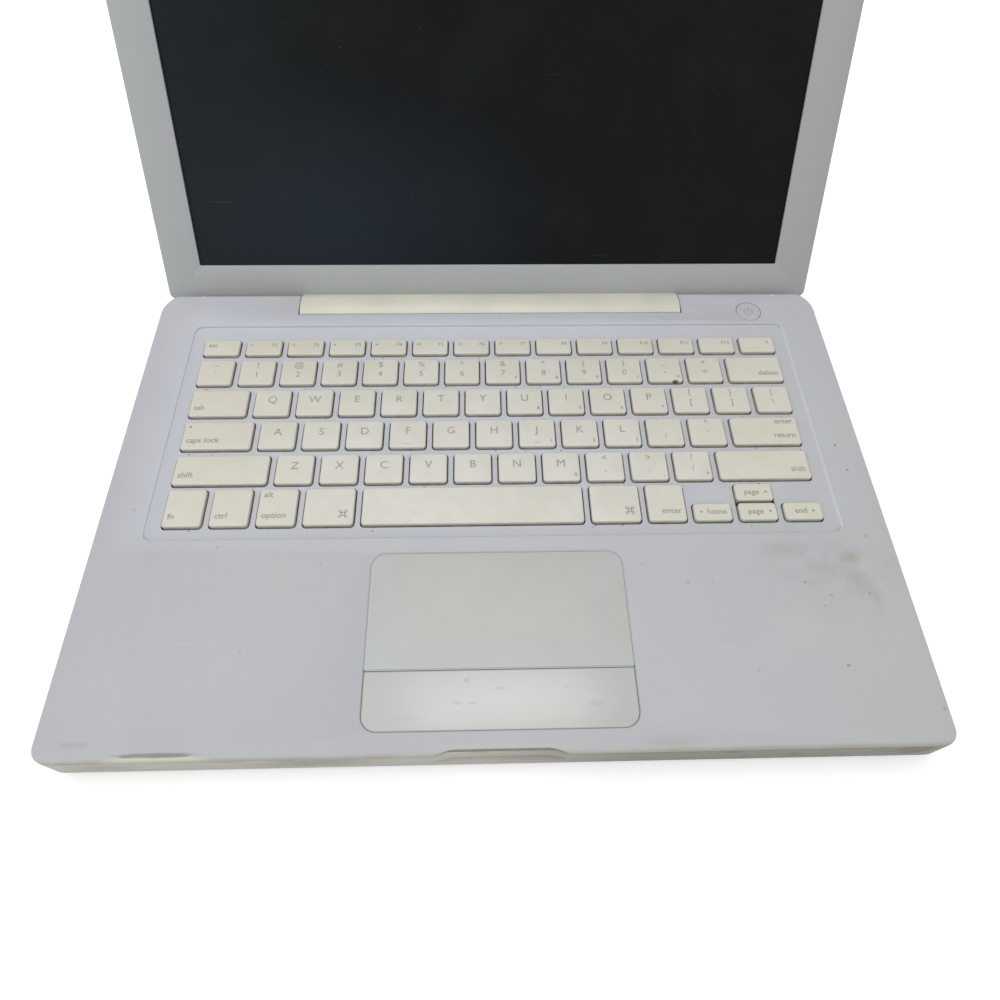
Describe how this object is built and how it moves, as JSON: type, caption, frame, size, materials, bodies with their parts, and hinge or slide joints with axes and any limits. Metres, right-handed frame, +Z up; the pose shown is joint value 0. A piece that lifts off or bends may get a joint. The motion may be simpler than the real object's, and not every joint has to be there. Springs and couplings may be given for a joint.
{
  "type": "notebook computer",
  "caption": "Worn white plastic notebook computer, lid open, with yellowed keys, touch pad and a crack in the front rim.",
  "frame": {"origin": "middle of the overall box of the opened machine, on the desk plane under its feet", "axes": "+X to the user's right, +Y from the user to the back, +Z up"},
  "size_m": [0.325, 0.341, 0.2085],
  "materials": {
    "grey_case": "fine satin, hand worn",
    "cream_case": "glossy, yellowed",
    "key_plastic": "satin, yellowed",
    "pad_surface": "satin",
    "pad_button": "worn to a shine",
    "bezel_plastic": "satin",
    "screen": "glossy, dark",
    "sheet_metal": "stamped",
    "plated_metal": "plated",
    "hinge_steel": "turned",
    "copper": "copper",
    "circuit": "board laminate",
    "dark_plastic": "moulded",
    "silicone": "soft sheet",
    "foot_rubber": "worn",
    "felt": "felt",
    "magnet": "plain",
    "drive_metal": "cast",
    "cable": "jacket",
    "light_lens": "clear"
  },
  "bodies": {
    "base": {"bottom_case": "cream_case", "top_case": "grey_case", "keyboard_plate": "sheet_metal", "dome_sheet": "silicone", "trackpad": "pad_surface", "trackpad_bracket": "sheet_metal", "battery": "cream_case", "logic_board": "circuit", "memory_modules": "circuit", "heatsink": "copper", "fan_housing": "dark_plastic", "optical_drive": "sheet_metal", "slot_felt": "felt", "hard_drive": "drive_metal", "wireless_card": "circuit", "speakers": "dark_plastic", "power_inlet": "plated_metal", "network_port": "plated_metal", "serial_port": "plated_metal", "video_port": "plated_metal", "usb_ports": "plated_metal", "audio_jacks": "light_lens", "sleep_light": "light_lens", "base_magnets": "magnet", "rubber_feet": "foot_rubber", "case_screws": "hinge_steel", "hinge_brackets": "hinge_steel", "display_lead": "cable"},
    "lid": {"lid_cover": "cream_case", "display_bezel": "bezel_plastic", "lcd_panel": "screen", "clutch_cover": "cream_case", "hinge_arms": "hinge_steel", "inverter_board": "circuit", "lid_magnets": "magnet", "bezel_bumpers": "foot_rubber", "display_cable": "cable"},
    "trackpad_button": {"trackpad_button": "pad_button"},
    "power_button": {"power_button": "grey_case"},
    "battery_lock": {"battery_lock": "hinge_steel"},
    "fan_rotor": {"fan_rotor": "dark_plastic"},
    "function_keys": {"function_keys": "key_plastic"},
    "number_keys": {"number_keys": "key_plastic"},
    "delete_key": {"delete_key": "key_plastic"},
    "tab_key": {"tab_key": "key_plastic"},
    "top_letter_keys": {"top_letter_keys": "key_plastic"},
    "caps_lock_key": {"caps_lock_key": "key_plastic"},
    "home_letter_keys": {"home_letter_keys": "key_plastic"},
    "return_key": {"return_key": "key_plastic"},
    "left_shift_key": {"left_shift_key": "key_plastic"},
    "bottom_letter_keys": {"bottom_letter_keys": "key_plastic"},
    "right_shift_key": {"right_shift_key": "key_plastic"},
    "fn_key": {"fn_key": "key_plastic"},
    "control_key": {"control_key": "key_plastic"},
    "option_key": {"option_key": "key_plastic"},
    "left_command_key": {"left_command_key": "key_plastic"},
    "space_bar": {"space_bar": "key_plastic"},
    "right_command_key": {"right_command_key": "key_plastic"},
    "enter_key": {"enter_key": "key_plastic"},
    "arrow_keys": {"arrow_keys": "key_plastic"}
  },
  "joints": [
    {"name": "lid_hinge", "type": "hinge", "parent": "base", "child": "lid", "pos_m": [0, 0.05297, 0.016], "axis": [-1, 0, 0], "range_deg": [-119.1, 8.9]},
    {"name": "trackpad_button_press", "type": "slide", "parent": "base", "child": "trackpad_button", "axis": [0, 0, -1], "range_m": [0, 0.0003], "stiffness_N_per_m": 1500},
    {"name": "power_button_press", "type": "slide", "parent": "base", "child": "power_button", "axis": [0, 0, -1], "range_m": [0, 0.0008], "stiffness_N_per_m": 600},
    {"name": "battery_lock_turn", "type": "hinge", "parent": "base", "child": "battery_lock", "pos_m": [-0.026, -0.03428, 0.001], "axis": [0, 0, 1], "range_deg": [0, 90]},
    {"name": "fan_spin", "type": "hinge", "parent": "base", "child": "fan_rotor", "pos_m": [0.0525, 0.00372, 0.007], "axis": [0, 0, 1], "continuous": true},
    {"name": "function_keys_press", "type": "slide", "parent": "base", "child": "function_keys", "axis": [0, 0, -1], "range_m": [0, 0.0023], "stiffness_N_per_m": 2800},
    {"name": "number_keys_press", "type": "slide", "parent": "base", "child": "number_keys", "axis": [0, 0, -1], "range_m": [0, 0.0023], "stiffness_N_per_m": 2600},
    {"name": "delete_key_press", "type": "slide", "parent": "base", "child": "delete_key", "axis": [0, 0, -1], "range_m": [0, 0.0023], "stiffness_N_per_m": 200},
    {"name": "tab_key_press", "type": "slide", "parent": "base", "child": "tab_key", "axis": [0, 0, -1], "range_m": [0, 0.0023], "stiffness_N_per_m": 200},
    {"name": "top_letter_keys_press", "type": "slide", "parent": "base", "child": "top_letter_keys", "axis": [0, 0, -1], "range_m": [0, 0.0023], "stiffness_N_per_m": 2600},
    {"name": "caps_lock_key_press", "type": "slide", "parent": "base", "child": "caps_lock_key", "axis": [0, 0, -1], "range_m": [0, 0.0023], "stiffness_N_per_m": 200},
    {"name": "home_letter_keys_press", "type": "slide", "parent": "base", "child": "home_letter_keys", "axis": [0, 0, -1], "range_m": [0, 0.0023], "stiffness_N_per_m": 2200},
    {"name": "return_key_press", "type": "slide", "parent": "base", "child": "return_key", "axis": [0, 0, -1], "range_m": [0, 0.0023], "stiffness_N_per_m": 200},
    {"name": "left_shift_key_press", "type": "slide", "parent": "base", "child": "left_shift_key", "axis": [0, 0, -1], "range_m": [0, 0.0023], "stiffness_N_per_m": 200},
    {"name": "bottom_letter_keys_press", "type": "slide", "parent": "base", "child": "bottom_letter_keys", "axis": [0, 0, -1], "range_m": [0, 0.0023], "stiffness_N_per_m": 2000},
    {"name": "right_shift_key_press", "type": "slide", "parent": "base", "child": "right_shift_key", "axis": [0, 0, -1], "range_m": [0, 0.0023], "stiffness_N_per_m": 200},
    {"name": "fn_key_press", "type": "slide", "parent": "base", "child": "fn_key", "axis": [0, 0, -1], "range_m": [0, 0.0023], "stiffness_N_per_m": 200},
    {"name": "control_key_press", "type": "slide", "parent": "base", "child": "control_key", "axis": [0, 0, -1], "range_m": [0, 0.0023], "stiffness_N_per_m": 200},
    {"name": "option_key_press", "type": "slide", "parent": "base", "child": "option_key", "axis": [0, 0, -1], "range_m": [0, 0.0023], "stiffness_N_per_m": 200},
    {"name": "left_command_key_press", "type": "slide", "parent": "base", "child": "left_command_key", "axis": [0, 0, -1], "range_m": [0, 0.0023], "stiffness_N_per_m": 200},
    {"name": "space_bar_press", "type": "slide", "parent": "base", "child": "space_bar", "axis": [0, 0, -1], "range_m": [0, 0.0023], "stiffness_N_per_m": 200},
    {"name": "right_command_key_press", "type": "slide", "parent": "base", "child": "right_command_key", "axis": [0, 0, -1], "range_m": [0, 0.0023], "stiffness_N_per_m": 200},
    {"name": "enter_key_press", "type": "slide", "parent": "base", "child": "enter_key", "axis": [0, 0, -1], "range_m": [0, 0.0023], "stiffness_N_per_m": 200},
    {"name": "arrow_keys_press", "type": "slide", "parent": "base", "child": "arrow_keys", "axis": [0, 0, -1], "range_m": [0, 0.0023], "stiffness_N_per_m": 800}
  ]
}
